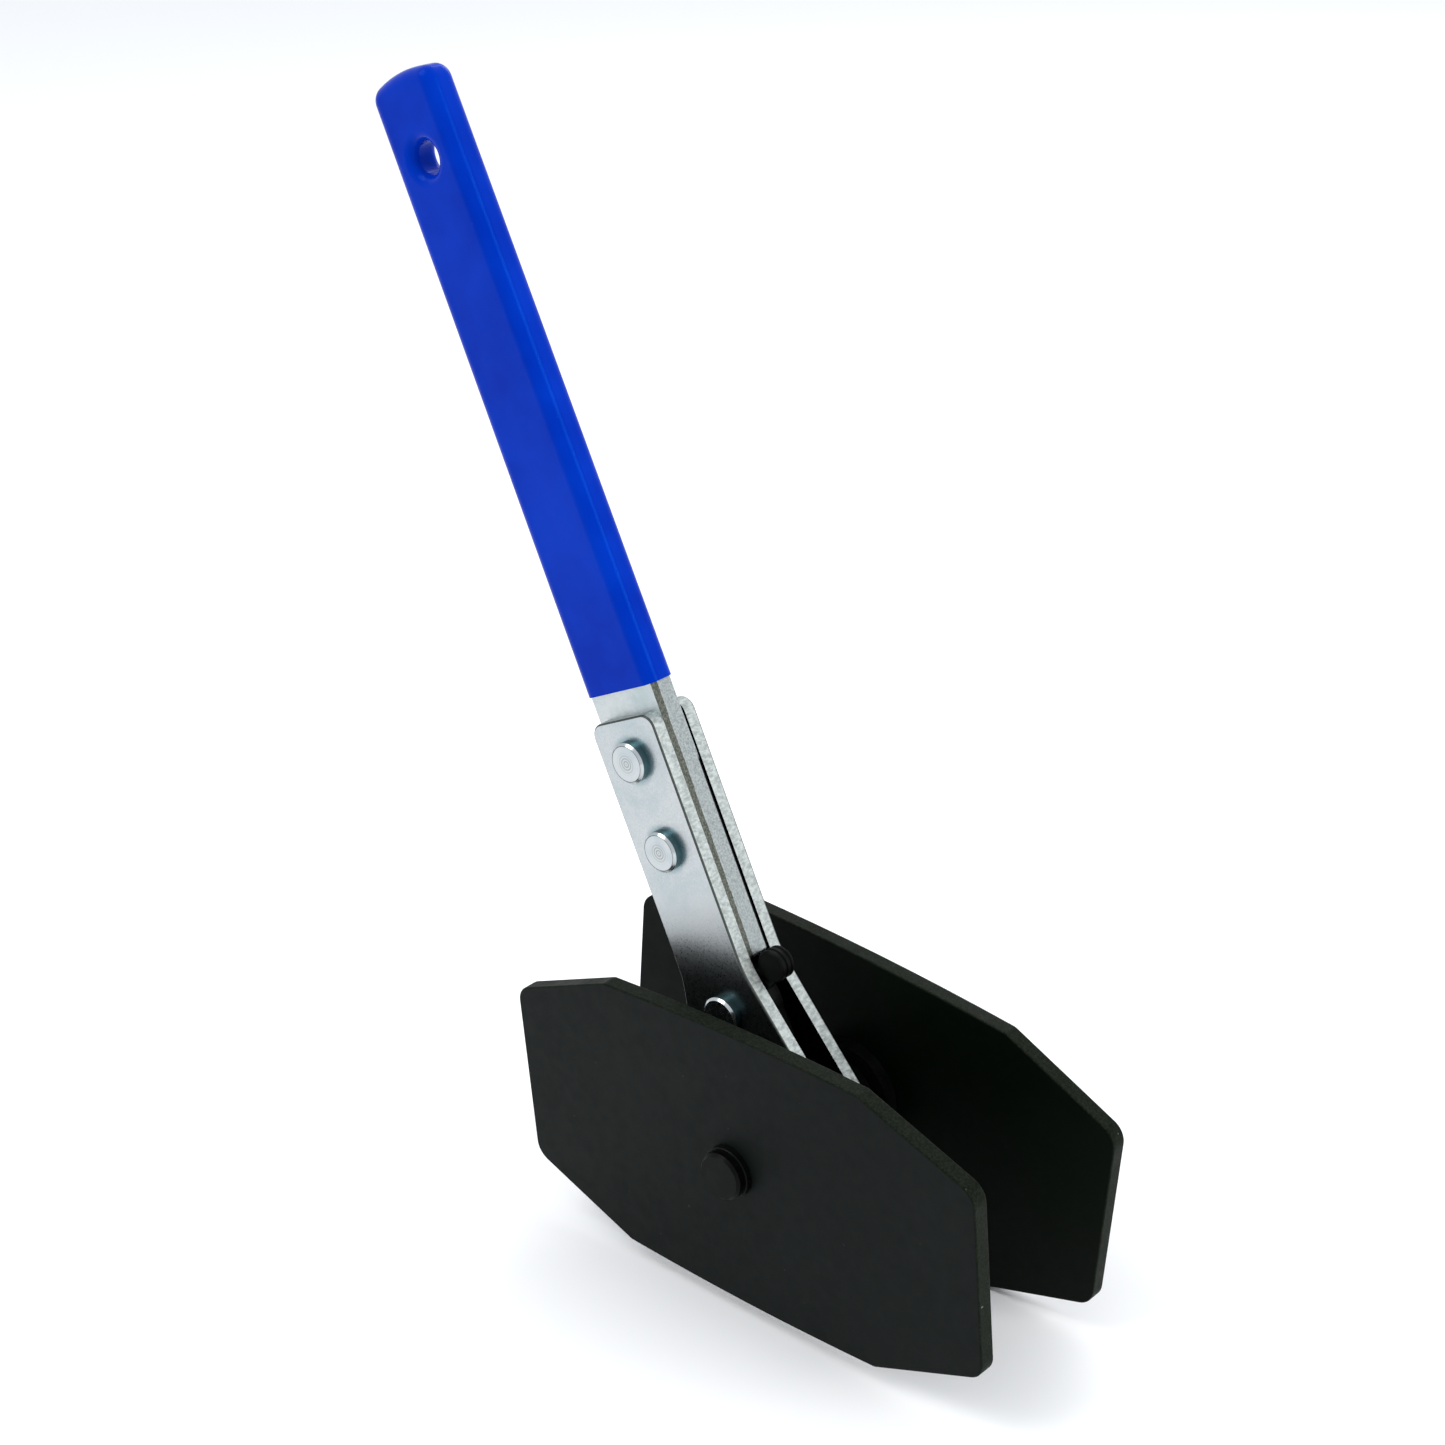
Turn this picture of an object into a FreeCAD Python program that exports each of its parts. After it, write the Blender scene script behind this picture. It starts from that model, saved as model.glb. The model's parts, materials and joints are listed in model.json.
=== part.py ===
import FreeCAD, Part
import math
import os

# Ratcheting brake-caliper piston spreader.  Two octagonal pressure plates swivel on the ends
# of a short screw.  A ratchet gear between the two cheeks of the handle drives the screw.
#
# Every piece is modelled about the screw: the origin is on the screw's axis, in the middle of
# the handle's two cheeks, +Y runs along the screw towards the far plate, +Z is up.  The pieces
# of the handle are drawn upright and then leaned over.  At the end the whole tool is shifted
# so that the middle of the box round it, at its lowest level, becomes the origin.

Vector = FreeCAD.Vector
SCREW_AXIS = Vector(0, 1, 0)
CENTRE = Vector(0, 0, 0)

# ---- driving dimensions, mm and degrees -----------------------------------------------------
HANDLE_LEAN = 22.8          # handle leans towards -X
FAR_PLATE_TURN = 7.5        # far plate is turned, its +X end dips
NEAR_PLATE_TILT = 2.5       # near plate sits askew on its loose swivel: its top leans outwards,
NEAR_PLATE_SKEW = 3.0       # and its +X end stands outwards

PLATE_HALF_LENGTH = 63.5
PLATE_END_HALF = 21.2       # half height of the plate's end edge
PLATE_LONG_HALF = 35.1      # half length of its long edge
PLATE_EDGE_Z = 32.45        # height of the long edge at its corners
PLATE_BOW = 0.9             # long edge is bowed outwards by this much
PLATE_THICK = 3.8
PLATE_END_RADIUS = 4.5
PLATE_TOP_RADIUS = 2.5
PLATE_RIM = 0.4
PLATE_OFF_CENTRE = 1.6      # the plate's middle is this far from its hole
PLATE_HOLE_RADIUS = 5.52
NEAR_PLATE_Y = -15.8        # inner face of the near plate
FAR_PLATE_Y = 20.2          # inner face of the far plate

CHEEK_THICK = 3.2
CHEEK_GAP_HALF = 3.2        # half the space between the two cheeks
CHEEK_HALF_WIDTH = 9.25
CHEEK_TOP = 94.3
CHEEK_HEAD_RADIUS = 19.0
CHEEK_FLARE = 15.5          # slope of the flare from the straight part to the round head
CHEEK_TOP_RADIUS = 3.0
CHEEK_BLEND = 22.0
CHEEK_RIM = 0.5

BAR_THICK = 5.8
BAR_BOTTOM = 39.0
BAR_TOP = 229.0
BAR_TIP_HALF = 8.25
BAR_TAPER_START = 99.7

GRIP_COAT = 1.0
GRIP_BOTTOM = 99.7
GRIP_TOP = 231.0
GRIP_BOTTOM_HALF = 10.5
GRIP_TOP_HALF = 9.55
GRIP_END_BOW = 1.6
GRIP_END_RADIUS = 3.5
GRIP_SECTION_RADIUS = 2.8
HANG_HOLE_H = 213.3
HANG_HOLE_RADIUS = 3.5
HANG_LIP = 2.2
HANG_LINING = 1.0

RIVET_SHANK = 3.2
RIVET_HEAD = 4.45
RIVET_PROUD = 2.2
RIVET_CHAMFER = 0.5
HANDLE_RIVETS_H = (65.8, 85.4)
PAWL_PIVOT_H = 29.0

JOURNAL_RADIUS = 11.0
GEAR_TEETH = 24
GEAR_TIP = 17.5
GEAR_ROOT = 15.4
GEAR_HALF = 3.1
TOOTH_ROOT_SHARE = 0.30     # half a tooth's width at its root, as a share of the tooth pitch
TOOTH_TIP_SHARE = 0.08      # and at its tip
CREST_RADIUS = 7.0          # crest of the screw thread
THREAD_DEPTH = 0.7
PITCH = 2.0
RUNNING = 0.06              # radial running clearance
FACE_GAP = 0.1              # gap between faces that slide on each other

FLANGE_RADIUS = 12.3
FLANGE_THICK = 3.0
SPIGOT_RADIUS = 5.3
SPIGOT_PROUD = 3.9
SPIGOT_CHAMFER = 0.6
SWIVEL_PLAY = 0.9           # room that the askew near plate needs at its flange
RING_PLAY = 0.45            # and at its retaining ring
RING_RADIUS = 5.8
RING_THICK = 1.4
RING_CHAMFER = 0.2
STEM_END = 13.0
HUB_RADIUS = 9.0
HUB_TENON = 2.0
HUB_FLOOR = 19.0            # bottom of the hub's hollow

PAWL_ROCK = 20.0
PAWL_THICK = 5.2
PAWL_BACK = 8.5
NOSE_TIP_ANGLE = 5.0        # the nose's tip, seen from the pivot, in degrees
NOSE_FLANK_ANGLE = 80.0     # where its outer side leaves the pawl's back
NOSE_ROOT_ANGLE = 8.0       # where its inner side does
NOSE_INSET = 0.5            # how deep the outer side starts in the back
NOSE_ROOT_INSET = 0.3
NOSE_REACH = 12.2
NOSE_ANGLE = 28.0
NOTCH_RADIUS = 1.6
NOTCH_DEPTH = 0.45
ARM_ANGLE = 70.0
ARM_WIDTH = 4.4
ARM_THICK = 3.0
KNOB_REACH = 15.1
KNOB_RADIUS = 3.5
KNOB_HALF = 1.9
TENON_RADIUS = 1.1
TENON_DEPTH = 3.0
TENON_ROOT = 2.0            # how far the tenon starts inside the arm
ARM_KNOB_GAP = 1.0          # from the arm's square end to the knob
KNOB_GROOVE = 0.3           # depth and floor width of the knob's grooves, and its chamfer
KNOB_GROOVE_SIDE = 0.2
KNOB_GROOVE_STARTS = (-0.9, 0.5)

PLUNGER_RADIUS = 2.14
PLUNGER_TIP_GAP = 0.35
PLUNGER_LENGTH = 9.0
PLUNGER_TRAVEL = 0.6
PLUNGER_BORE_TOP = 57.0
SPRING_COIL = 1.5
SPRING_WIRE = 0.3
SPRING_TURNS = 7

BAR_Y = BAR_THICK / 2 - CHEEK_GAP_HALF      # middle of the bar, which lies on the near cheek
CHEEK_OUTER = CHEEK_GAP_HALF + CHEEK_THICK


# ---- helpers --------------------------------------------------------------------------------
def rounded_face(corners):
    """Face in the XZ plane from (x, z, radius) corners, each rounded by a tangent arc."""
    edges = []
    points = [Vector(x, 0, z) for x, z, radius in corners]
    last_end = None
    first_start = None
    for number, corner in enumerate(points):
        to_before = (points[number - 1] - corner).normalize()
        to_after = (points[(number + 1) % len(points)] - corner).normalize()
        radius = corners[number][2]
        half_angle = to_before.getAngle(to_after) / 2
        run = radius / math.tan(half_angle)
        start = corner + to_before * run
        end = corner + to_after * run
        if last_end is not None:
            edges.append(Part.LineSegment(last_end, start).toShape())
        if radius > 0:
            bisector = (to_before + to_after).normalize()
            middle = corner + bisector * (radius / math.sin(half_angle) - radius)
            edges.append(Part.Arc(start, middle, end).toShape())
        if first_start is None:
            first_start = start
        last_end = end
    edges.append(Part.LineSegment(last_end, first_start).toShape())
    return Part.Face(Part.Wire(edges))


def slab(face, low_y, high_y):
    """Solid made by drawing a face of the XZ plane from low_y to high_y."""
    moved = face.copy()
    moved.translate(Vector(0, low_y, 0))
    return moved.extrude(Vector(0, high_y - low_y, 0))


def rod(radius, low_y, high_y, x=0.0, z=0.0):
    """Cylinder along Y."""
    return Part.makeCylinder(radius, high_y - low_y, Vector(x, low_y, z), SCREW_AXIS)


def turned(profile):
    """Solid of revolution about the Y axis from (radius, y) points."""
    points = [Vector(radius, y, 0) for radius, y in profile]
    wire = Part.makePolygon(points + [points[0]])
    return Part.Face(wire).revolve(CENTRE, SCREW_AXIS, 360)


def edges_along_y(shape):
    """Straight edges that run along Y."""
    found = []
    for edge in shape.Edges:
        along = edge.Vertexes[0].Point - edge.Vertexes[-1].Point
        if along.Length > 1 and abs(abs(along.y) - along.Length) < 1e-6:
            found.append(edge)
    return found


def edges_at_y(shape, level):
    """Edges that lie in the plane y = level."""
    return [edge for edge in shape.Edges
            if abs(edge.BoundBox.YMin - level) < 1e-4 and abs(edge.BoundBox.YMax - level) < 1e-4]


def about_y(shape, degrees, centre=CENTRE):
    """Copy of a shape turned about an axis along Y."""
    copy = shape.copy()
    copy.rotate(centre, SCREW_AXIS, degrees)
    return copy


def leaned(shape):
    """Copy of an upright handle piece, leaned over with the handle."""
    return about_y(shape, -HANDLE_LEAN)


# ---- pressure plates ------------------------------------------------------------------------
def pressure_plate(low_y):
    """Octagonal plate with bowed long edges, rounded corners and a hole about the Y axis."""
    top_left = Vector(-PLATE_LONG_HALF, 0, PLATE_EDGE_Z)
    top_right = Vector(PLATE_LONG_HALF, 0, PLATE_EDGE_Z)
    right_top = Vector(PLATE_HALF_LENGTH, 0, PLATE_END_HALF)
    right_low = Vector(PLATE_HALF_LENGTH, 0, -PLATE_END_HALF)
    low_right = Vector(PLATE_LONG_HALF, 0, -PLATE_EDGE_Z)
    low_left = Vector(-PLATE_LONG_HALF, 0, -PLATE_EDGE_Z)
    left_low = Vector(-PLATE_HALF_LENGTH, 0, -PLATE_END_HALF)
    left_top = Vector(-PLATE_HALF_LENGTH, 0, PLATE_END_HALF)
    crown = Vector(0, 0, PLATE_EDGE_Z + PLATE_BOW)
    outline = Part.Wire([
        Part.Arc(top_left, crown, top_right).toShape(),
        Part.LineSegment(top_right, right_top).toShape(),
        Part.LineSegment(right_top, right_low).toShape(),
        Part.LineSegment(right_low, low_right).toShape(),
        Part.Arc(low_right, -crown, low_left).toShape(),
        Part.LineSegment(low_left, left_low).toShape(),
        Part.LineSegment(left_low, left_top).toShape(),
        Part.LineSegment(left_top, top_left).toShape(),
    ])
    plate = slab(Part.Face(outline), low_y, low_y + PLATE_THICK)
    corners = edges_along_y(plate)
    ends = [edge for edge in corners if abs(edge.Vertexes[0].X) > PLATE_LONG_HALF + 1]
    plate = plate.makeFillet(PLATE_END_RADIUS, ends)
    tops = [edge for edge in edges_along_y(plate)
            if abs(abs(edge.Vertexes[0].X) - PLATE_LONG_HALF) < 1e-3]
    plate = plate.makeFillet(PLATE_TOP_RADIUS, tops)
    rim = edges_at_y(plate, low_y) + edges_at_y(plate, low_y + PLATE_THICK)
    plate = plate.makeFillet(PLATE_RIM, rim)
    plate.translate(Vector(PLATE_OFF_CENTRE, 0, 0))
    return plate.cut(rod(PLATE_HOLE_RADIUS, low_y - 1, low_y + PLATE_THICK + 1))


def pressure_plate_near():
    plate = pressure_plate(NEAR_PLATE_Y - PLATE_THICK)
    pivot = Vector(0, NEAR_PLATE_Y - PLATE_THICK / 2, 0)
    plate.rotate(pivot, Vector(1, 0, 0), NEAR_PLATE_TILT)
    plate.rotate(pivot, Vector(0, 0, 1), -NEAR_PLATE_SKEW)
    return plate


def pressure_plate_far():
    return about_y(pressure_plate(FAR_PLATE_Y), FAR_PLATE_TURN)


# ---- screw, hub and ratchet gear ------------------------------------------------------------
def spigot_profile(flange_y, plate_y, outwards):
    """(radius, y) points of a spigot that passes a plate, from its flange to its end's middle."""
    end_y = plate_y + outwards * (PLATE_THICK + SPIGOT_PROUD)
    return [
        (SPIGOT_RADIUS, flange_y),
        (SPIGOT_RADIUS, end_y - outwards * SPIGOT_CHAMFER),
        (SPIGOT_RADIUS - SPIGOT_CHAMFER, end_y),
        (0, end_y),
    ]


def drive_screw():
    """Screw with a flange and a spigot for the near plate; rings stand in for its thread."""
    flange_outer = NEAR_PLATE_Y + SWIVEL_PLAY
    flange_inner = flange_outer + FLANGE_THICK
    profile = [(0, STEM_END), (CREST_RADIUS - THREAD_DEPTH, STEM_END)]
    crest_y = STEM_END - PITCH / 2
    while crest_y > flange_inner + PITCH:
        profile.append((CREST_RADIUS, crest_y))
        profile.append((CREST_RADIUS, crest_y - PITCH / 4))
        profile.append((CREST_RADIUS - THREAD_DEPTH, crest_y - PITCH * 5 / 8))
        crest_y -= PITCH
    profile.append((CREST_RADIUS - THREAD_DEPTH, flange_inner))
    profile.append((FLANGE_RADIUS, flange_inner))
    profile.append((FLANGE_RADIUS, flange_outer))
    return turned(profile + spigot_profile(flange_outer, NEAR_PLATE_Y, -1))


def far_hub():
    """Hub pressed into the gear, hollow for the screw, with the far plate's flange and spigot."""
    flange_outer = FAR_PLATE_Y - FACE_GAP
    flange_inner = flange_outer - FLANGE_THICK
    hollow = CREST_RADIUS + RUNNING
    profile = [
        (0, HUB_FLOOR),
        (hollow, HUB_FLOOR),
        (hollow, CHEEK_OUTER - HUB_TENON),
        (HUB_RADIUS, CHEEK_OUTER - HUB_TENON),
        (HUB_RADIUS, flange_inner),
        (FLANGE_RADIUS, flange_inner),
        (FLANGE_RADIUS, flange_outer),
    ]
    return turned(profile + spigot_profile(flange_outer, FAR_PLATE_Y, 1))


def retaining_ring(plate_face_y, outwards):
    """Ring pressed on a spigot, clear of the plate's outer face by the swivel's play."""
    start = plate_face_y + outwards * RING_PLAY
    end = start + outwards * RING_THICK
    ring = rod(RING_RADIUS, min(start, end), max(start, end))
    ring = ring.makeChamfer(RING_CHAMFER, edges_at_y(ring, end))
    return ring.cut(rod(SPIGOT_RADIUS, min(start, end) - 1, max(start, end) + 1))


def retaining_ring_near():
    return retaining_ring(NEAR_PLATE_Y - PLATE_THICK, -1)


def retaining_ring_far():
    return retaining_ring(FAR_PLATE_Y + PLATE_THICK, 1)


def ratchet_gear():
    """Toothed gear with a journal on each side and a nut bore for the screw."""
    corners = [
        (-TOOTH_ROOT_SHARE, GEAR_ROOT), (-TOOTH_TIP_SHARE, GEAR_TIP),
        (TOOTH_TIP_SHARE, GEAR_TIP), (TOOTH_ROOT_SHARE, GEAR_ROOT),
    ]
    outline = []
    for tooth in range(GEAR_TEETH):
        for part, radius in corners:
            angle = math.tau * (tooth + part) / GEAR_TEETH
            outline.append(Vector(radius * math.sin(angle), 0, radius * math.cos(angle)))
    teeth = Part.Face(Part.makePolygon(outline + [outline[0]]))
    gear = slab(teeth, -GEAR_HALF, GEAR_HALF)
    gear = gear.fuse(rod(JOURNAL_RADIUS, -CHEEK_OUTER, CHEEK_OUTER)).removeSplitter()
    gear = gear.cut(rod(CREST_RADIUS + RUNNING, -CHEEK_OUTER - 1, CHEEK_OUTER + 1))
    return gear.cut(rod(HUB_RADIUS, CHEEK_OUTER - HUB_TENON, CHEEK_OUTER + 1))


# ---- handle ---------------------------------------------------------------------------------
def rivet_levels():
    return (PAWL_PIVOT_H,) + HANDLE_RIVETS_H


def cheek(inner_y, outer_y):
    """Cheek plate of the handle: straight sides that flare into a round head."""
    slope = math.radians(CHEEK_FLARE)
    tangent_w = CHEEK_HEAD_RADIUS * math.cos(slope)
    tangent_h = CHEEK_HEAD_RADIUS * math.sin(slope)
    flare_h = tangent_h + (tangent_w - CHEEK_HALF_WIDTH) / math.tan(slope)
    shank = rounded_face([
        (-CHEEK_HALF_WIDTH, CHEEK_TOP, CHEEK_TOP_RADIUS),
        (CHEEK_HALF_WIDTH, CHEEK_TOP, CHEEK_TOP_RADIUS),
        (CHEEK_HALF_WIDTH, flare_h, CHEEK_BLEND),
        (tangent_w, tangent_h, 0),
        (-tangent_w, tangent_h, 0),
        (-CHEEK_HALF_WIDTH, flare_h, CHEEK_BLEND),
    ])
    low_y = min(inner_y, outer_y)
    high_y = max(inner_y, outer_y)
    plate = slab(shank, low_y, high_y).fuse(rod(CHEEK_HEAD_RADIUS, low_y, high_y)).removeSplitter()
    plate = plate.makeFillet(CHEEK_RIM, edges_at_y(plate, outer_y))
    plate = plate.cut(rod(JOURNAL_RADIUS + RUNNING, low_y - 1, high_y + 1))
    for level in rivet_levels():
        plate = plate.cut(rod(RIVET_SHANK, low_y - 1, high_y + 1, z=level))
    return plate


def yoke_plate_near():
    return leaned(cheek(-CHEEK_GAP_HALF, -CHEEK_OUTER))


def yoke_plate_far():
    return leaned(cheek(CHEEK_GAP_HALF, CHEEK_OUTER))


def bar_blank():
    """Handle bar without its holes."""
    outline = rounded_face([
        (-CHEEK_HALF_WIDTH, BAR_BOTTOM, 0.8),
        (-CHEEK_HALF_WIDTH, BAR_TAPER_START, 0),
        (-BAR_TIP_HALF, BAR_TOP, 2.0),
        (BAR_TIP_HALF, BAR_TOP, 2.0),
        (CHEEK_HALF_WIDTH, BAR_TAPER_START, 0),
        (CHEEK_HALF_WIDTH, BAR_BOTTOM, 0.8),
    ])
    return slab(outline, BAR_Y - BAR_THICK / 2, BAR_Y + BAR_THICK / 2)


def hang_bore(radius):
    return rod(radius, BAR_Y - 10, BAR_Y + 10, z=HANG_HOLE_H)


def handle_bar():
    """Flat bar between the cheeks, with rivet holes and a bore for the detent."""
    bar = bar_blank().cut(hang_bore(HANG_HOLE_RADIUS + HANG_LINING))
    for level in HANDLE_RIVETS_H:
        bar = bar.cut(rod(RIVET_SHANK, -10, 10, z=level))
    depth = PLUNGER_BORE_TOP - BAR_BOTTOM
    bore = Part.makeCylinder(PLUNGER_RADIUS + RUNNING, depth, Vector(0, BAR_Y, BAR_BOTTOM))
    return leaned(bar.cut(bore))


def grip():
    """Dipped coat over the bar's upper part, which also lines the hanging hole."""
    outline = Part.Wire([
        Part.LineSegment(Vector(-GRIP_TOP_HALF, 0, GRIP_TOP - GRIP_END_BOW),
                         Vector(-GRIP_BOTTOM_HALF, 0, GRIP_BOTTOM)).toShape(),
        Part.LineSegment(Vector(-GRIP_BOTTOM_HALF, 0, GRIP_BOTTOM),
                         Vector(GRIP_BOTTOM_HALF, 0, GRIP_BOTTOM)).toShape(),
        Part.LineSegment(Vector(GRIP_BOTTOM_HALF, 0, GRIP_BOTTOM),
                         Vector(GRIP_TOP_HALF, 0, GRIP_TOP - GRIP_END_BOW)).toShape(),
        Part.Arc(Vector(GRIP_TOP_HALF, 0, GRIP_TOP - GRIP_END_BOW),
                 Vector(0, 0, GRIP_TOP),
                 Vector(-GRIP_TOP_HALF, 0, GRIP_TOP - GRIP_END_BOW)).toShape(),
    ])
    half = BAR_THICK / 2 + GRIP_COAT
    coat = slab(Part.Face(outline), BAR_Y - half, BAR_Y + half)
    end_corners = [edge for edge in edges_along_y(coat) if edge.Vertexes[0].Z > GRIP_TOP - 5]
    coat = coat.makeFillet(GRIP_END_RADIUS, end_corners)
    rims = edges_at_y(coat, BAR_Y - half) + edges_at_y(coat, BAR_Y + half)
    sides = [edge for edge in rims if edge.BoundBox.ZMax > GRIP_BOTTOM + 1]
    coat = coat.makeFillet(GRIP_SECTION_RADIUS, sides)
    coat = coat.cut(hang_bore(HANG_HOLE_RADIUS))
    lips = [edge for edge in edges_at_y(coat, BAR_Y - half) + edges_at_y(coat, BAR_Y + half)
            if abs(edge.BoundBox.ZLength - 2 * HANG_HOLE_RADIUS) < 0.01]
    coat = coat.makeFillet(HANG_LIP, lips)
    core = bar_blank().cut(hang_bore(HANG_HOLE_RADIUS + HANG_LINING))
    return leaned(coat.cut(core))


def rivet(level):
    """Rivet through both cheeks, with a chamfered head at each end."""
    shank = rod(RIVET_SHANK, -CHEEK_OUTER, CHEEK_OUTER, z=level)
    for side in (-1, 1):
        start = side * CHEEK_OUTER
        end = side * (CHEEK_OUTER + RIVET_PROUD)
        head = rod(RIVET_HEAD, min(start, end), max(start, end), z=level)
        shank = shank.fuse(head.makeChamfer(RIVET_CHAMFER, edges_at_y(head, end)))
    return shank.removeSplitter()


def handle_rivets():
    return leaned(Part.makeCompound([rivet(level) for level in HANDLE_RIVETS_H]))


def pawl_rivet():
    return leaned(rivet(PAWL_PIVOT_H))


# ---- pawl and its detent --------------------------------------------------------------------
def from_pivot(reach, degrees):
    """Point at a distance from the pawl's pivot, at an angle from straight up towards +X."""
    angle = math.radians(degrees)
    return Vector(reach * math.sin(angle), BAR_Y, PAWL_PIVOT_H + reach * math.cos(angle))


def resting(shape):
    """Pawl pieces are drawn in mid-rock; this turns a copy to the end where the pawl rests."""
    return leaned(about_y(shape, -PAWL_ROCK / 2, Vector(0, 0, PAWL_PIVOT_H)))


def knob_tenon():
    """Round end of the pawl's arm, which the knob is pressed on."""
    start = KNOB_REACH - KNOB_RADIUS - TENON_ROOT
    end = KNOB_REACH - KNOB_RADIUS + TENON_DEPTH
    foot = from_pivot(start, ARM_ANGLE)
    return Part.makeCylinder(TENON_RADIUS, end - start, foot, from_pivot(end, ARM_ANGLE) - foot)


def pawl():
    """Rocker with a nose on each side, two shallow detent notches and an arm for the knob."""
    low_y = BAR_Y - PAWL_THICK / 2
    high_y = BAR_Y + PAWL_THICK / 2
    body = rod(PAWL_BACK, low_y, high_y, z=PAWL_PIVOT_H)
    for side in (-1, 1):
        tip = from_pivot(NOSE_REACH, 180 - side * NOSE_ANGLE)
        heel = from_pivot(NOSE_REACH, 180 - side * (NOSE_ANGLE + NOSE_TIP_ANGLE))
        flank = from_pivot(PAWL_BACK - NOSE_INSET, 180 - side * NOSE_FLANK_ANGLE)
        root = from_pivot(PAWL_BACK - NOSE_ROOT_INSET, 180 - side * NOSE_ROOT_ANGLE)
        centre = from_pivot(0, 0)
        nose = [Vector(point.x, 0, point.z) for point in (centre, flank, heel, tip, root)]
        body = body.fuse(slab(Part.Face(Part.makePolygon(nose + [nose[0]])), low_y, high_y))
    arm = Part.makeBox(ARM_WIDTH, ARM_THICK, KNOB_REACH - KNOB_RADIUS - ARM_KNOB_GAP,
                       Vector(-ARM_WIDTH / 2, BAR_Y - ARM_THICK / 2, PAWL_PIVOT_H))
    body = body.fuse(about_y(arm, ARM_ANGLE, Vector(0, 0, PAWL_PIVOT_H)))
    body = body.fuse(knob_tenon())
    for side in (-1, 1):
        dent = from_pivot(PAWL_BACK + NOTCH_RADIUS - NOTCH_DEPTH, side * PAWL_ROCK / 2)
        body = body.cut(rod(NOTCH_RADIUS, low_y - 1, high_y + 1, x=dent.x, z=dent.z))
    body = body.cut(rod(RIVET_SHANK + RUNNING, low_y - 1, high_y + 1, z=PAWL_PIVOT_H))
    return resting(body.removeSplitter())


def pawl_knob():
    """Ribbed thumb knob pressed on the pawl's arm."""
    middle = from_pivot(KNOB_REACH, ARM_ANGLE)
    rim = KNOB_RADIUS
    inner = KNOB_RADIUS - KNOB_GROOVE
    profile = [(0, -KNOB_HALF), (inner, -KNOB_HALF), (rim, -KNOB_HALF + KNOB_GROOVE)]
    for start in KNOB_GROOVE_STARTS:
        floor_start = start + KNOB_GROOVE_SIDE
        floor_end = floor_start + KNOB_GROOVE
        profile += [(rim, start), (inner, floor_start), (inner, floor_end), (rim, floor_end + KNOB_GROOVE_SIDE)]
    profile += [(rim, KNOB_HALF - KNOB_GROOVE), (inner, KNOB_HALF), (0, KNOB_HALF)]
    knob = turned(profile)
    knob.translate(middle)
    return resting(knob.cut(knob_tenon()))


def detent_plunger():
    """Round-nosed plunger that slides in the bar's lower end."""
    tip = PAWL_PIVOT_H + PAWL_BACK + PLUNGER_TIP_GAP
    ball = Part.makeSphere(PLUNGER_RADIUS, Vector(0, BAR_Y, tip + PLUNGER_RADIUS))
    body = Part.makeCylinder(PLUNGER_RADIUS, PLUNGER_LENGTH - PLUNGER_RADIUS,
                             Vector(0, BAR_Y, tip + PLUNGER_RADIUS))
    return leaned(body.fuse(ball).removeSplitter())


def detent_spring():
    """Coil spring above the plunger, clear of it by the plunger's travel."""
    low = PAWL_PIVOT_H + PAWL_BACK + PLUNGER_TIP_GAP + PLUNGER_LENGTH + PLUNGER_TRAVEL + SPRING_WIRE
    low += FACE_GAP
    high = PLUNGER_BORE_TOP - SPRING_WIRE - FACE_GAP
    path = Part.makeHelix((high - low) / SPRING_TURNS, high - low, SPRING_COIL)
    ring = Part.Wire(Part.makeCircle(SPRING_WIRE, Vector(SPRING_COIL, 0, 0), SCREW_AXIS))
    coil = Part.Wire(path.Edges).makePipeShell([ring], True, True)
    coil.translate(Vector(0, BAR_Y, low))
    return leaned(coil)


# ---- build ----------------------------------------------------------------------------------
NODES = (
    pressure_plate_near, pressure_plate_far, drive_screw, far_hub, retaining_ring_near,
    retaining_ring_far, ratchet_gear, yoke_plate_near, yoke_plate_far, handle_bar, grip,
    handle_rivets, pawl_rivet, pawl, pawl_knob, detent_plunger, detent_spring,
)


def main():
    os.makedirs("parts", exist_ok=True)
    shapes = {piece.__name__: piece() for piece in NODES}
    box = Part.makeCompound(list(shapes.values())).optimalBoundingBox(False, False)
    shift = Vector(-(box.XMin + box.XMax) / 2, -(box.YMin + box.YMax) / 2, -box.ZMin)
    for name, shape in shapes.items():
        shape.translate(shift)
        shape.exportStep(f"parts/{name}.step")
        print(f"{name:22s} valid {shape.isValid()} solids {len(shape.Solids)} {shape.Volume:10.1f} mm3")
    print("screw axis meets the yoke's middle at", tuple(round(value, 4) for value in shift))


main()
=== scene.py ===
import bpy
import json
import math
from mathutils import Matrix, Vector


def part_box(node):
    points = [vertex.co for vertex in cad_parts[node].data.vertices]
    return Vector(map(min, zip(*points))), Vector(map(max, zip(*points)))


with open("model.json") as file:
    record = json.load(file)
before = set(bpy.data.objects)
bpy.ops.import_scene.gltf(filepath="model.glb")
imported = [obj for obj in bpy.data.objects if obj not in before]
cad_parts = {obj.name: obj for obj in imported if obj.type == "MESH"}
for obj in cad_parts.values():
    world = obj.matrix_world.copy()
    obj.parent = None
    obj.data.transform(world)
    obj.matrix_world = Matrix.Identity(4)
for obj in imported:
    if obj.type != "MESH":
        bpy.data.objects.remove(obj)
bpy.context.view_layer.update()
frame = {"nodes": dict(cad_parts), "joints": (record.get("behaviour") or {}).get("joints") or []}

MM = 0.001
JOINTS = {joint["name"]: joint for joint in frame["joints"]}
SCREW = Vector(JOINTS["gear_turn"]["pos_m"])
PAWL_PIVOT = Vector(JOINTS["pawl_rock"]["pos_m"])
UP_HANDLE = (PAWL_PIVOT - SCREW).normalized()
LEAN = math.atan2(UP_HANDLE.x, UP_HANDLE.z)
NEAR_NORMAL = Vector(JOINTS["near_plate_swivel"]["axis"])
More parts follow.
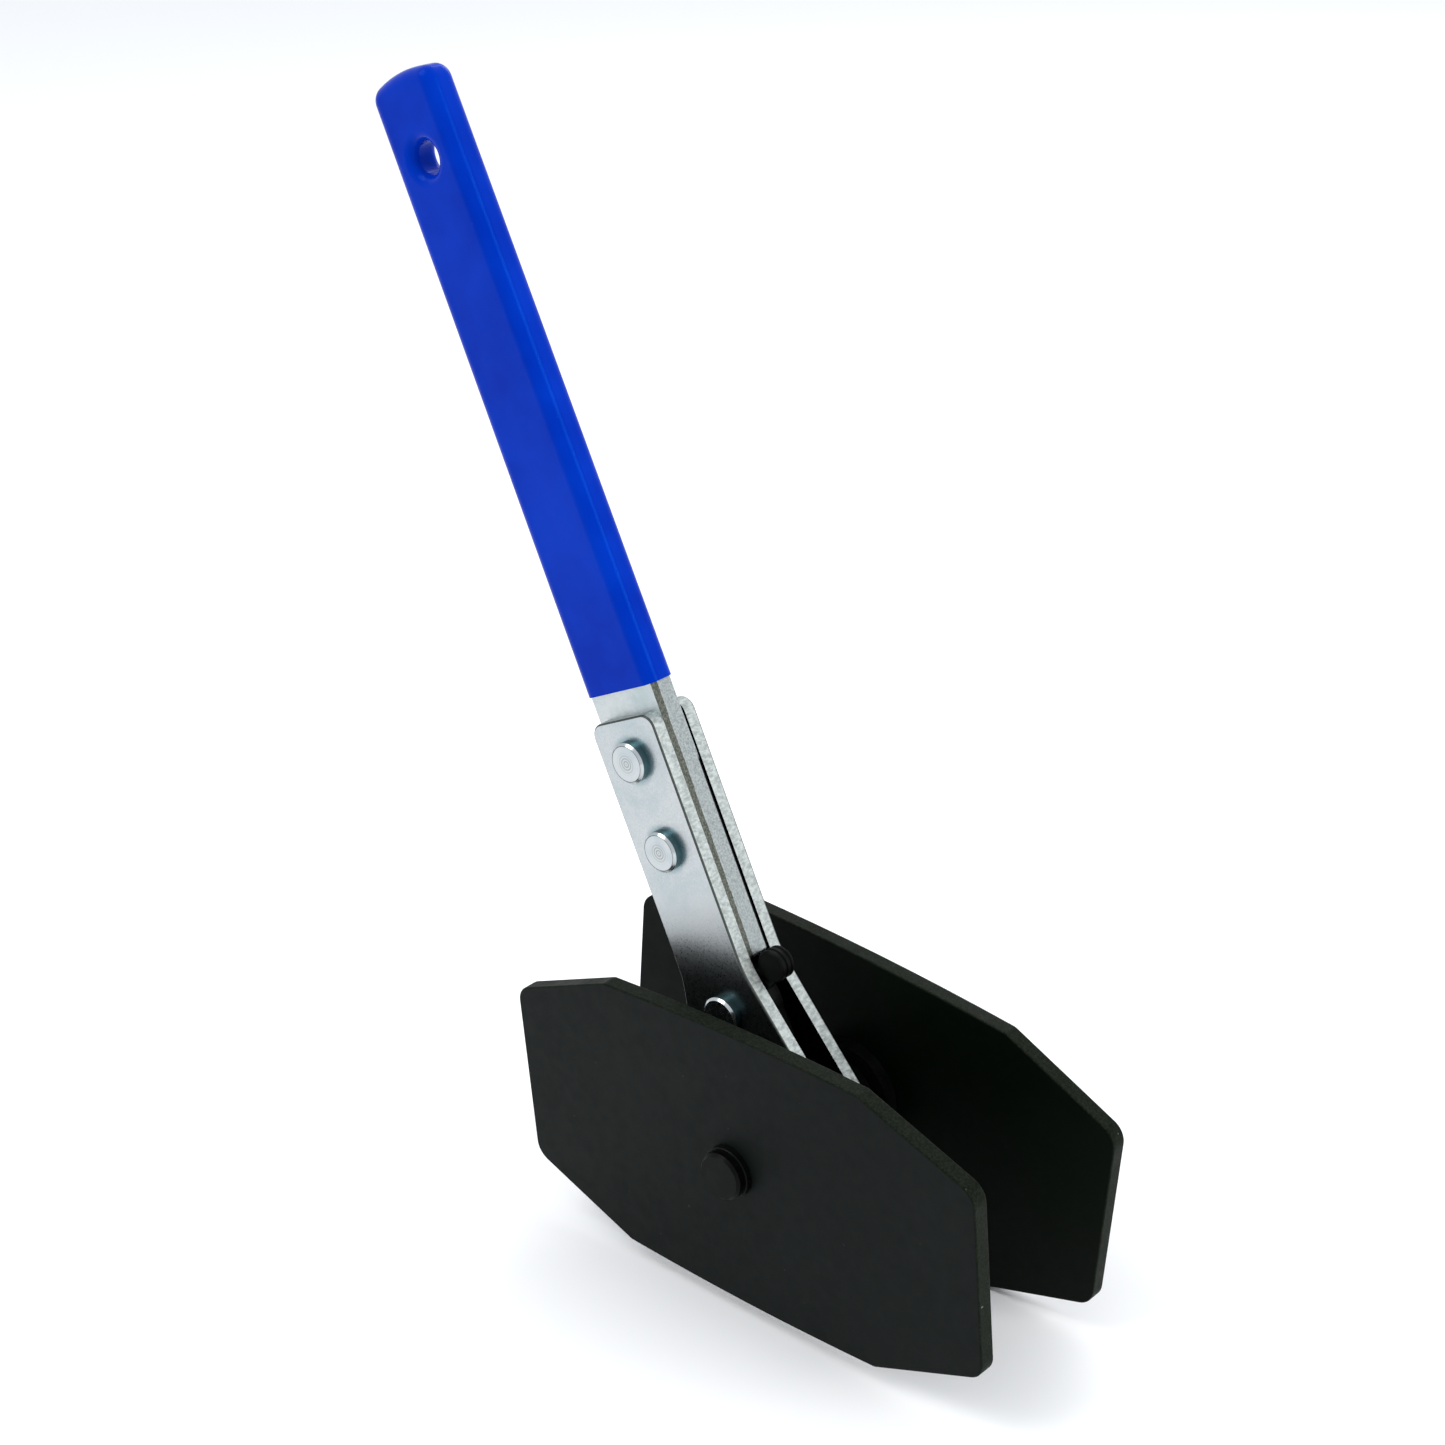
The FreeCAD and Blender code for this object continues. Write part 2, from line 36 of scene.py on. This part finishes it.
HEAD_RADIUS = (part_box("pawl_rivet")[1].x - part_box("pawl_rivet")[0].x) / 2
INNER_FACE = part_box("yoke_plate_far")[0].y - SCREW.y
CHEEK_END = (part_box("yoke_plate_far")[1].z - SCREW.z) * math.cos(LEAN)


def rivet_centres():
    """Axes of the two handle rivets, from the corners of the box round both heads."""
    low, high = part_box("handle_rivets")
    upper = Vector((low.x + HEAD_RADIUS, 0, high.z - HEAD_RADIUS))
    lower = Vector((high.x - HEAD_RADIUS, 0, low.z + HEAD_RADIUS))
    return [upper, lower]


# ---- camera, light and floor ----------------------------------------------------------------
AIM = Vector((-16.40, 17.48, 115.37)) * MM
AZIMUTH = 42.07
ELEVATION = 23.36
ROLL = -2.91
DISTANCE = 572.25 * MM
LENS = 67.56
SENSOR_WIDTH = 36
CLIP_START = 0.01

SURROUND_COLOUR = (0.93, 0.96, 1.0, 1)
SURROUND_STRENGTH = 0.95
SOFT_LIGHTS = (
    # name, place in metres, side in metres, power in watts
    ("key", (-0.5, -0.7, 1.3), 0.8, 8),
    ("side", (1.3, 0.2, 0.7), 0.6, 9),
    ("back", (-0.3, 1.2, 0.9), 0.8, 4),
)
FLOOR_SIZE = 40
FLOOR_COLOUR = (0.96, 0.96, 0.96, 1)


def make_camera():
    """Camera at the viewing angle: az 0 looks along +Y, the elevation is above the horizon."""
    azimuth = math.radians(AZIMUTH)
    elevation = math.radians(ELEVATION)
    back = Vector((math.sin(azimuth) * math.cos(elevation),
                   -math.cos(azimuth) * math.cos(elevation),
                   math.sin(elevation)))
    data = bpy.data.cameras.new("camera")
    data.lens = LENS
    data.sensor_width = SENSOR_WIDTH
    data.clip_start = CLIP_START
    camera = bpy.data.objects.new("camera", data)
    turn = (-back).to_track_quat("-Z", "Y").to_matrix() @ Matrix.Rotation(math.radians(ROLL), 3, "Z")
    camera.matrix_world = Matrix.Translation(AIM + back * DISTANCE) @ turn.to_4x4()
    bpy.context.scene.collection.objects.link(camera)
    bpy.context.scene.camera = camera


def soft_light(name, place, size, power):
    """Square area light that faces the tool."""
    data = bpy.data.lights.new(name, "AREA")
    data.shape = "SQUARE"
    data.size = size
    data.energy = power
    light = bpy.data.objects.new(name, data)
    place = Vector(place)
    turn = (AIM - place).to_track_quat("-Z", "Y").to_matrix()
    light.matrix_world = Matrix.Translation(place) @ turn.to_4x4()
    bpy.context.scene.collection.objects.link(light)


def make_studio():
    """Pale floor, an even pale surround and three soft lights."""
    scene = bpy.context.scene
    scene.view_settings.view_transform = "Standard"
    world = bpy.data.worlds.new("surround")
    world.use_nodes = True
    background = world.node_tree.nodes["Background"]
    background.inputs["Color"].default_value = SURROUND_COLOUR
    background.inputs["Strength"].default_value = SURROUND_STRENGTH
    scene.world = world
    for settings in SOFT_LIGHTS:
        soft_light(*settings)
    bpy.ops.mesh.primitive_plane_add(size=FLOOR_SIZE)
    floor = bpy.context.object
    floor.name = "floor"
    nodes = Nodes("floor_paper")
    nodes.shader["Base Color"].default_value = FLOOR_COLOUR
    nodes.shader["Roughness"].default_value = 0.9
    nodes.shader["Specular IOR Level"].default_value = 0.05
    nodes.bump([(nodes.noise(220, 3), 0.2)], 0.05)
    floor.data.materials.append(nodes.material)


# ---- material building ----------------------------------------------------------------------
class Nodes:
    """A material under construction, with short ways to add the nodes used below."""

    def __init__(self, name):
        self.material = bpy.data.materials.new(name)
        self.material.use_nodes = True
        self.tree = self.material.node_tree
        self.shader = self.tree.nodes["Principled BSDF"].inputs
        self.place = self.add("ShaderNodeTexCoord")
        self.object_place = self.place.outputs["Object"]

    def add(self, kind, **settings):
        node = self.tree.nodes.new(kind)
        for key, value in settings.items():
            setattr(node, key, value)
        return node

    def link(self, source, target):
        if isinstance(source, (int, float)):
            target.default_value = source
        elif isinstance(source, tuple):
            target.default_value = (*source, 1) if len(target.default_value) == 4 else source
        else:
            self.tree.links.new(source, target)

    def handle_place(self):
        """Coordinates of the handle: X across it, Y along the screw, Z along it."""
        node = self.add("ShaderNodeMapping", vector_type="TEXTURE")
        self.link(self.object_place, node.inputs["Vector"])
        node.inputs["Location"].default_value = SCREW
        node.inputs["Rotation"].default_value = (0, LEAN, 0)
        return node.outputs["Vector"]

    def stretched(self, place, scale):
        node = self.add("ShaderNodeMapping")
        self.link(place, node.inputs["Vector"])
        node.inputs["Scale"].default_value = scale
        return node.outputs["Vector"]

    def noise(self, scale, detail=4.0, place=None, rough=0.55, warp=0.0):
        node = self.add("ShaderNodeTexNoise")
        self.link(place or self.object_place, node.inputs["Vector"])
        node.inputs["Scale"].default_value = scale
        node.inputs["Detail"].default_value = detail
        node.inputs["Roughness"].default_value = rough
        node.inputs["Distortion"].default_value = warp
        return node.outputs["Fac"]

    def ramp(self, value, low, high, to_low=0.0, to_high=1.0):
        """Smooth step from one value to another, flat outside the limits."""
        node = self.add("ShaderNodeMapRange", interpolation_type="SMOOTHSTEP")
        self.link(value, node.inputs["Value"])
        limits = {"From Min": low, "From Max": high, "To Min": to_low, "To Max": to_high}
        for socket, number in limits.items():
            node.inputs[socket].default_value = number
        return node.outputs["Result"]

    def math(self, operation, first, second=0.0):
        node = self.add("ShaderNodeMath", operation=operation)
        self.link(first, node.inputs[0])
        self.link(second, node.inputs[1])
        return node.outputs[0]

    def product(self, *factors):
        """Product of two or more outputs or numbers, the first of them an output."""
        total = factors[0]
        for factor in factors[1:]:
            total = self.math("MULTIPLY", total, factor)
        return total

    def mix(self, amount, first, second):
        node = self.add("ShaderNodeMix", data_type="RGBA")
        self.link(amount, node.inputs[0])
        self.link(first, node.inputs[6])
        self.link(second, node.inputs[7])
        return node.outputs[2]

    def parts_of(self, vector):
        node = self.add("ShaderNodeSeparateXYZ")
        self.link(vector, node.inputs[0])
        return node.outputs

    def facing(self, direction):
        """How far the surface faces a direction or its opposite, from 0 to 1."""
        node = self.add("ShaderNodeVectorMath", operation="DOT_PRODUCT")
        self.link(self.place.outputs["Normal"], node.inputs[0])
        node.inputs[1].default_value = direction
        return self.math("ABSOLUTE", node.outputs["Value"])

    def reach_from(self, centres):
        """Distance to the nearest of some axes that run along Y, in metres."""
        nearest = None
        for centre in centres:
            offset = self.add("ShaderNodeVectorMath", operation="SUBTRACT")
            self.link(self.object_place, offset.inputs[0])
            offset.inputs[1].default_value = centre
            flat = self.add("ShaderNodeVectorMath", operation="MULTIPLY")
            self.link(offset.outputs[0], flat.inputs[0])
            flat.inputs[1].default_value = (1, 0, 1)
            length = self.add("ShaderNodeVectorMath", operation="LENGTH")
            self.link(flat.outputs[0], length.inputs[0])
            reach = length.outputs["Value"]
            nearest = reach if nearest is None else self.math("MINIMUM", nearest, reach)
        return nearest

    def bump(self, layers, strength=1.0):
        """Bump from (height, depth in mm) layers, fed to the shader's normal."""
        total = None
        for height, depth in layers:
            part = self.math("MULTIPLY", height, depth * MM)
            total = part if total is None else self.math("ADD", total, part)
        node = self.add("ShaderNodeBump")
        node.inputs["Strength"].default_value = strength
        node.inputs["Distance"].default_value = 1.0
        self.link(total, node.inputs["Height"])
        self.link(node.outputs["Normal"], self.shader["Normal"])


def dress(material, *names):
    """Gives CAD nodes their material."""
    for name in names:
        mesh = frame["nodes"][name].data
        mesh.materials.clear()
        mesh.materials.append(material)


# ---- materials ------------------------------------------------------------------------------
# Noise scales are in features per metre, and bump depths in millimetres.
ALONG_SCREW = (0, 1, 0)
WHOLE_NOISE = (0.3, 0.7)            # limits that hold nearly all of a noise's values

VINYL_DEEP = (0.0003, 0.017, 0.30)
VINYL_PALE = (0.0008, 0.030, 0.40)
VINYL_SPECK = (0.01, 0.06, 0.55)
VINYL_GLOSS_TINT = (0.0, 0.32, 1.0, 1)

ZINC_WHITE = (0.50, 0.525, 0.535)
ZINC_BLUE = (0.40, 0.46, 0.475)
ZINC_GRAIN = (0.36, 0.385, 0.395)
# painted dark reflection of the black plates in the lower part of the cheeks
ZINC_PAINTED_REFLECTION = (0.10, 0.105, 0.105)
ZINC_INSIDE_SHADE = (0.015, 0.015, 0.014)
SHEARED_DARK = (0.31, 0.34, 0.33)
SHEARED_BRIGHT = (0.52, 0.56, 0.54)
ROLLED_CORNER_SHADE = (0.03, 0.035, 0.03)
RIVET_REFLECTION_SHADOW = (0.13, 0.24, 0.26)
REFLECTION_SHADOW_REACH = 1.35                   # outer edge of the painted rivet reflection and contact shadow, in head radii
REFLECTION_TOP = 58 * MM                 # height along the handle where the painted dark reflection of the black plates starts
REFLECTION_FULL = 34 * MM
REFLECTION_SCATTER = 16 * MM

BAR_WHITE = (0.52, 0.55, 0.555)
BAR_BLUE = (0.42, 0.48, 0.49)
TORN_DARK = (0.27, 0.30, 0.30)
TORN_BRIGHT = (0.41, 0.44, 0.435)
BURNISHED_REFLECTION_DARK = (0.085, 0.09, 0.075)
BURNISHED_REFLECTION_BRIGHT = (0.17, 0.18, 0.155)
GAP_SHADE = (0.004, 0.004, 0.004)
GAP_FACE_SHADE = (0.01, 0.01, 0.01)
BAND_START = 1.2 * MM               # burnished band's width, from the near face
BAND_END = 1.45 * MM
BAND_WAVER = 0.9 * MM
BAND_DRIFT = -0.7 * MM              # how far the band moves from the bar's foot to its top
BAND_FOOT = 40 * MM
BAND_TOP = 105 * MM
GAP_START = 0.45 * MM               # shade on the bar's far corner, from the far face
GAP_END = 0.25 * MM
GAP_FADE = 1.5 * MM

RIVET_WHITE = (0.50, 0.53, 0.54)
RIVET_BLUE = (0.43, 0.48, 0.50)
RIVET_RING = (0.24, 0.26, 0.26)
RIVET_RIM_SHADE = (0.07, 0.08, 0.08)
RIVET_SIDE_REFLECTION = (0.045, 0.12, 0.14)
RING_SPACING = 0.62 * MM
RING_WOBBLE = 0.35 * MM
RINGS_FULL = 0.8 * MM               # distance from the axis where the rings start to fade
RINGS_GONE = 3.0 * MM
RIM_SHADE_START = 0.845               # painted shade on the rim of the head's face, in head radii
RIM_SHADE_FULL = 0.87

NEAR_PLATE_DARK = (0.0020, 0.0037, 0.0030)
NEAR_PLATE_LIGHT = (0.0042, 0.0062, 0.0054)
# the far plate's black is painted darker as shade on its inner face, between the plates
FAR_PLATE_SHADED_DARK = (0.0002, 0.0018, 0.0004)
FAR_PLATE_SHADED_LIGHT = (0.0008, 0.0028, 0.0010)
RIM_DARK = (0.001, 0.0025, 0.0005)
RIM_LIGHT = (0.007, 0.011, 0.005)
CHIP = (0.16, 0.16, 0.14)
DUST = (0.06, 0.07, 0.07)

OXIDE_DARK = (0.001, 0.0014, 0.001)
OXIDE_WORN = (0.004, 0.0045, 0.004)
OXIDE_GRAIN = (0.010, 0.010, 0.009)
BLACK_GLOSS = 0.07
TURNING_MARKS = 0.4                 # spacing in millimetres
KNOB_MARKS = 0.9

WIRE_DARK = (0.34, 0.35, 0.36)
WIRE_BRIGHT = (0.55, 0.56, 0.57)


def dipped_vinyl():
    """Blue dipped coat with faint runs along the handle and a few specks."""
    nodes = Nodes("dipped_vinyl")
    place = nodes.handle_place()
    runs = nodes.noise(55, 3, nodes.stretched(place, (1, 1, 0.18)))
    cloud = nodes.noise(38, 3)
    colour = nodes.mix(nodes.ramp(cloud, *WHOLE_NOISE), VINYL_DEEP, VINYL_PALE)
    specks = nodes.ramp(nodes.noise(900, 1), 0.80, 0.84)
    colour = nodes.mix(nodes.product(specks, 0.35), colour, VINYL_SPECK)
    nodes.link(colour, nodes.shader["Base Color"])
    nodes.link(nodes.ramp(nodes.noise(260, 4), 0.3, 0.75, 0.10, 0.20), nodes.shader["Roughness"])
    nodes.shader["Specular IOR Level"].default_value = 0.10
    nodes.shader["Specular Tint"].default_value = VINYL_GLOSS_TINT
    nodes.bump([(runs, 0.25), (nodes.noise(420, 2), 0.010)])
    return nodes.material


def zinc():
    """Zinc plating: fine grain and pale blue clouds on the faces, sheared grain on the edges."""
    nodes = Nodes("zinc_cheek")
    place = nodes.handle_place()
    axes = nodes.parts_of(place)
    facing = nodes.facing(ALONG_SCREW)
    face = nodes.ramp(facing, 0.93, 0.995)
    grain = nodes.noise(2600, 3, place)
    cloud = nodes.noise(60, 4, place, warp=0.6)
    tear = nodes.noise(1300, 5, nodes.stretched(place, (1.0, 0.5, 1.0)), rough=0.7)

    plated = nodes.mix(nodes.ramp(cloud, 0.42, 0.72), ZINC_WHITE, ZINC_BLUE)
    plated = nodes.mix(nodes.product(nodes.ramp(grain, 0.35, 0.7), 0.30), plated, ZINC_GRAIN)
    # painted teal reflection of the rivet heads and their painted contact shadow, round each head on
    # the cheeks
    rivet_reach = nodes.reach_from([*rivet_centres(), PAWL_PIVOT])
    reflection_shadow = nodes.ramp(rivet_reach, HEAD_RADIUS, REFLECTION_SHADOW_REACH * HEAD_RADIUS, 0.55, 0.0)
    plated = nodes.mix(reflection_shadow, plated, RIVET_REFLECTION_SHADOW)
    # painted dark reflection of the black plates on the cheeks, darker towards their bottom
    scatter = nodes.product(nodes.math("SUBTRACT", grain, 0.5), REFLECTION_SCATTER)
    low_reflection = nodes.ramp(nodes.math("ADD", axes["Z"], scatter), REFLECTION_FULL, REFLECTION_TOP, 0.8, 0.0)
    plated = nodes.mix(low_reflection, plated, ZINC_PAINTED_REFLECTION)
    # painted shade on the cheeks' inner faces, between the plates
    from_middle = nodes.math("ABSOLUTE", axes["Y"])
    inside_shade = nodes.ramp(from_middle, INNER_FACE, INNER_FACE + 0.1 * MM, 1.0, 0.0)
    plated = nodes.mix(inside_shade, plated, ZINC_INSIDE_SHADE)

    edge = nodes.mix(nodes.ramp(tear, 0.35, 0.65), SHEARED_DARK, SHEARED_BRIGHT)
    # painted shade on the rolled corner of the sheared edges, where it turns away from the faces
    rolled_shade = nodes.product(nodes.ramp(facing, 0.08, 0.22), nodes.ramp(facing, 0.93, 0.995, 1.0, 0.0))
    edge = nodes.mix(nodes.product(rolled_shade, 0.9), edge, ROLLED_CORNER_SHADE)
    nodes.link(nodes.mix(face, edge, plated), nodes.shader["Base Color"])
    nodes.shader["Metallic"].default_value = 1.0

    rough = nodes.add("ShaderNodeMix", data_type="FLOAT")
    nodes.link(face, rough.inputs[0])
    nodes.link(nodes.ramp(tear, *WHOLE_NOISE, 0.40, 0.55), rough.inputs[2])
    nodes.link(nodes.ramp(grain, *WHOLE_NOISE, 0.27, 0.36), rough.inputs[3])
    nodes.link(rough.outputs[0], nodes.shader["Roughness"])
    edge_only = nodes.math("SUBTRACT", 1.0, face)
    nodes.bump([(grain, 0.0015), (nodes.product(tear, edge_only), 0.045)])
    return nodes.material


def bar_steel():
    """Plated bar whose edge has a burnished band next to the near face, painted dark as a
    reflection, then torn grain.
    """
    nodes = Nodes("bar_steel")
    low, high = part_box("handle_bar")
    near_face = low.y - SCREW.y
    far_face = high.y - SCREW.y
    place = nodes.handle_place()
    axes = nodes.parts_of(place)
    face = nodes.ramp(nodes.facing(ALONG_SCREW), 0.55, 0.85)
    grain = nodes.noise(2400, 4, place)
    cloud = nodes.noise(90, 4, place, warp=0.5)

    waver = nodes.noise(140, 4, nodes.stretched(place, (1, 0.2, 1)))
    waver = nodes.product(nodes.math("SUBTRACT", waver, 0.5), BAND_WAVER)
    through = nodes.math("ADD", axes["Y"], waver)
    drift = nodes.ramp(axes["Z"], BAND_FOOT, BAND_TOP, 0.0, BAND_DRIFT)
    through = nodes.math("ADD", through, drift)
    band = nodes.ramp(through, near_face + BAND_START, near_face + BAND_END)
    # the burnished band is a real zone of the edge; its dark olive colour is a painted dark
    # reflection
    burnished = nodes.mix(nodes.ramp(grain, 0.4, 0.7), BURNISHED_REFLECTION_DARK, BURNISHED_REFLECTION_BRIGHT)
    torn = nodes.mix(nodes.ramp(grain, *WHOLE_NOISE), TORN_DARK, TORN_BRIGHT)
    edge = nodes.mix(band, burnished, torn)

    # painted shade in the gap by the far cheek, on the bar's far corner and far face
    covered = nodes.ramp(axes["Z"], CHEEK_END - GAP_FADE, CHEEK_END, 1.0, 0.0)
    corner = nodes.ramp(axes["Y"], far_face - GAP_START, far_face - GAP_END)
    shadow = nodes.product(corner, covered)
    edge = nodes.mix(shadow, edge, GAP_SHADE)
    plated = nodes.mix(nodes.ramp(cloud, 0.42, 0.7), BAR_WHITE, BAR_BLUE)
    plated = nodes.mix(shadow, plated, GAP_FACE_SHADE)
    nodes.link(nodes.mix(face, edge, plated), nodes.shader["Base Color"])
    nodes.shader["Metallic"].default_value = 1.0
    nodes.link(nodes.ramp(grain, *WHOLE_NOISE, 0.30, 0.50), nodes.shader["Roughness"])
    edge_only = nodes.math("SUBTRACT", 1.0, face)
    nodes.bump([(nodes.product(grain, edge_only), 0.02), (cloud, 0.03), (band, 0.02)])
    return nodes.material


def turned_rivet(centres):
    """Plated rivet with turning rings on its heads, about each rivet's own axis."""
    nodes = Nodes("turned_rivet_%d" % len(centres))
    nearest = nodes.reach_from(centres)
    facing = nodes.facing(ALONG_SCREW)
    face = nodes.ramp(facing, 0.75, 0.95)
    grain = nodes.noise(1900, 3)
    cloud = nodes.noise(160, 2)

    wobble = nodes.math("ADD", nearest, nodes.product(cloud, RING_WOBBLE))
    rings = nodes.math("SINE", nodes.product(wobble, math.tau / RING_SPACING))
    middle = nodes.ramp(nearest, RINGS_FULL, RINGS_GONE, 1.0, 0.0)
    colour = nodes.mix(nodes.ramp(cloud, 0.4, 0.65), RIVET_WHITE, RIVET_BLUE)
    shade = nodes.product(nodes.ramp(rings, -1, 1), nodes.product(middle, face))
    colour = nodes.mix(nodes.product(shade, 0.8), colour, RIVET_RING)
    # painted dark shade on the rim of each head's face
    rim_shade = nodes.ramp(nearest, RIM_SHADE_START * HEAD_RADIUS, RIM_SHADE_FULL * HEAD_RADIUS)
    colour = nodes.mix(nodes.product(rim_shade, face), colour, RIVET_RIM_SHADE)
    # painted dark teal reflection on the sides of the heads
    side = nodes.ramp(facing, 0.10, 0.45, 0.9, 0.0)
    nodes.link(nodes.mix(side, colour, RIVET_SIDE_REFLECTION), nodes.shader["Base Color"])
    nodes.shader["Metallic"].default_value = 1.0
    nodes.link(nodes.ramp(grain, *WHOLE_NOISE, 0.16, 0.26), nodes.shader["Roughness"])
    nodes.bump([(nodes.product(rings, face, middle), 0.006), (grain, 0.002)])
    return nodes.material


def black_plate(name, axis, dark, light):
    """Black finished steel plate: satin faces with faint patches, olive grained rims."""
    nodes = Nodes(name)
    face = nodes.ramp(nodes.facing(axis), 0.75, 0.97)
    edge_only = nodes.math("SUBTRACT", 1.0, face)
    patches = nodes.noise(26, 3, warp=0.4)
    grain = nodes.noise(2200, 3)
    scuffs = nodes.noise(300, 5, rough=0.7)
    rim_grain = nodes.noise(2100, 4)

    satin = nodes.mix(nodes.ramp(patches, 0.35, 0.68), dark, light)
    rim = nodes.mix(nodes.ramp(rim_grain, 0.38, 0.66), RIM_DARK, RIM_LIGHT)
    colour = nodes.mix(face, rim, satin)
    chips = nodes.product(nodes.ramp(nodes.noise(520, 2), 0.765, 0.785), edge_only)
    colour = nodes.mix(nodes.product(chips, 0.8), colour, CHIP)
    dust = nodes.product(nodes.ramp(nodes.noise(760, 1), 0.80, 0.82), 0.25)
    nodes.link(nodes.mix(dust, colour, DUST), nodes.shader["Base Color"])

    wear = nodes.math("ADD", nodes.product(scuffs, 0.5), nodes.product(patches, 0.5))
    nodes.link(nodes.ramp(wear, 0.35, 0.65, 0.46, 0.60), nodes.shader["Roughness"])
    nodes.shader["Specular IOR Level"].default_value = BLACK_GLOSS
    nodes.bump([(grain, 0.006), (patches, 0.25), (nodes.product(rim_grain, edge_only), 0.02)])
    return nodes.material


def black_oxide(name, rough_low, rough_high, spacing):
    """Black oxide on turned steel, with fine turning marks along the screw's axis."""
    nodes = Nodes(name)
    axes = nodes.parts_of(nodes.object_place)
    grain = nodes.noise(1800, 3)
    worn = nodes.noise(150, 4)
    marks = nodes.math("SINE", nodes.product(axes["Y"], math.tau / (spacing * MM)))
    colour = nodes.mix(nodes.ramp(worn, 0.4, 0.7), OXIDE_DARK, OXIDE_WORN)
    colour = nodes.mix(nodes.product(nodes.ramp(grain, 0.6, 0.75), 0.4), colour, OXIDE_GRAIN)
    nodes.link(colour, nodes.shader["Base Color"])
    nodes.link(nodes.ramp(grain, *WHOLE_NOISE, rough_low, rough_high), nodes.shader["Roughness"])
    nodes.shader["Specular IOR Level"].default_value = BLACK_GLOSS
    nodes.bump([(grain, 0.008), (marks, 0.004)])
    return nodes.material


def spring_wire():
    """Drawn steel wire with a fine grain."""
    nodes = Nodes("spring_wire")
    grain = nodes.noise(2400, 3)
    colour = nodes.mix(nodes.ramp(grain, 0.35, 0.7), WIRE_DARK, WIRE_BRIGHT)
    nodes.link(colour, nodes.shader["Base Color"])
    nodes.shader["Metallic"].default_value = 1.0
    nodes.link(nodes.ramp(grain, *WHOLE_NOISE, 0.25, 0.4), nodes.shader["Roughness"])
    nodes.bump([(grain, 0.004)])
    return nodes.material


def dress_tool():
    """Gives every CAD node its material."""
    near = black_plate("black_plate_near", NEAR_NORMAL, NEAR_PLATE_DARK, NEAR_PLATE_LIGHT)
    # the far plate gets a copy of the black finish painted darker as shade
    far = black_plate("black_plate_far_shaded", ALONG_SCREW, FAR_PLATE_SHADED_DARK, FAR_PLATE_SHADED_LIGHT)
    oxide = black_oxide("black_oxide", 0.28, 0.45, TURNING_MARKS)
    dress(dipped_vinyl(), "grip")
    dress(bar_steel(), "handle_bar")
    dress(zinc(), "yoke_plate_near", "yoke_plate_far")
    dress(turned_rivet(rivet_centres()), "handle_rivets")
    dress(turned_rivet([PAWL_PIVOT]), "pawl_rivet")
    dress(near, "pressure_plate_near")
    dress(far, "pressure_plate_far")
    dress(oxide, "drive_screw", "far_hub", "retaining_ring_near", "retaining_ring_far",
          "ratchet_gear", "pawl")
    dress(black_oxide("knob_black", 0.38, 0.55, KNOB_MARKS), "pawl_knob")
    dress(spring_wire(), "detent_spring", "detent_plunger")


make_camera()
make_studio()
dress_tool()
